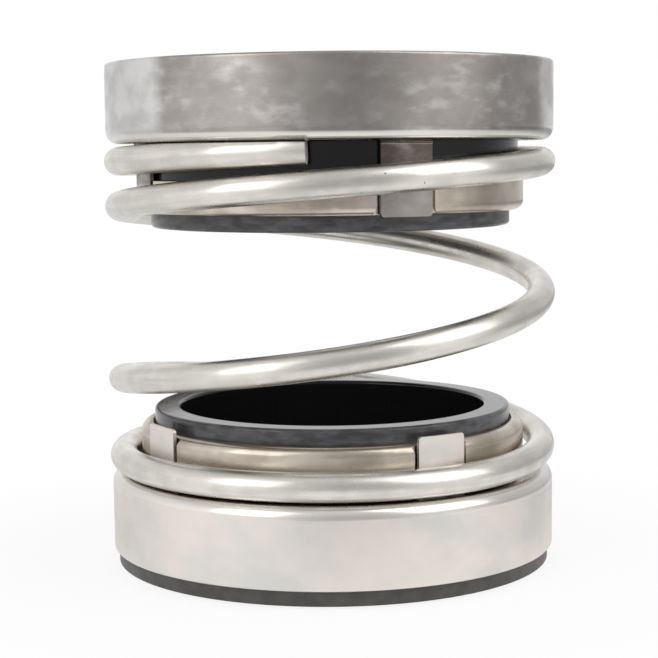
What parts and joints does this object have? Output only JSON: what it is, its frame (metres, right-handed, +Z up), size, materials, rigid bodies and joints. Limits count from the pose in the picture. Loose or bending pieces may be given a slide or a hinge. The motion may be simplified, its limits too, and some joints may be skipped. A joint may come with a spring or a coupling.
{
  "type": "double-ended elastomer-bellows mechanical seal (rotating unit)",
  "caption": "Mechanical seal for a pump shaft: two opposed seal heads in pressed stainless retainers, with black rubber bellows, slotted drive bands and one coil spring between them.",
  "frame": {"origin": "centre of the lower seal face, where the seal stands on its lapped nose", "axes": "+Z up the shaft axis, from the lower seal face to the upper one; azimuths are counted from -Y, the side that the spring's upper tip is on, towards +X"},
  "size_m": [0.0656, 0.0656, 0.0728],
  "materials": {
    "bright_stainless": "pressed stainless sheet, bright satin",
    "dull_stainless": "pressed stainless sheet, satin, handled",
    "spring_wire": "drawn stainless wire, satin",
    "rubber": "moulded, semi-gloss",
    "seal_ring": "carbon-graphite, matte"
  },
  "bodies": {
    "lower_head": {"lower_retainer": "bright_stainless", "lower_seal_ring": "seal_ring", "spring": "spring_wire"},
    "upper_head": {"upper_retainer": "dull_stainless", "upper_seal_ring": "seal_ring"},
    "lower_tail": {"lower_drive_band": "bright_stainless", "lower_bellows": "rubber"},
    "upper_tail": {"upper_drive_band": "bright_stainless", "upper_bellows": "rubber"}
  },
  "joints": [
    {"name": "spring_compression", "type": "slide", "parent": "lower_head", "child": "upper_head", "axis": [0, 0, 1], "range_m": [-0.022, 0], "stiffness_N_per_m": 4900, "springref_m": 0.0001, "deforming": ["spring"]},
    {"name": "lower_tail_slide", "type": "slide", "parent": "lower_head", "child": "lower_tail", "axis": [0, 0, 1], "range_m": [-0.0019, 0.0029], "stiffness_N_per_m": 3000, "deforming": ["lower_bellows"]},
    {"name": "upper_tail_slide", "type": "slide", "parent": "upper_head", "child": "upper_tail", "axis": [0, 0, 1], "range_m": [0, 0.0017], "stiffness_N_per_m": 3000, "deforming": ["upper_bellows"]}
  ]
}
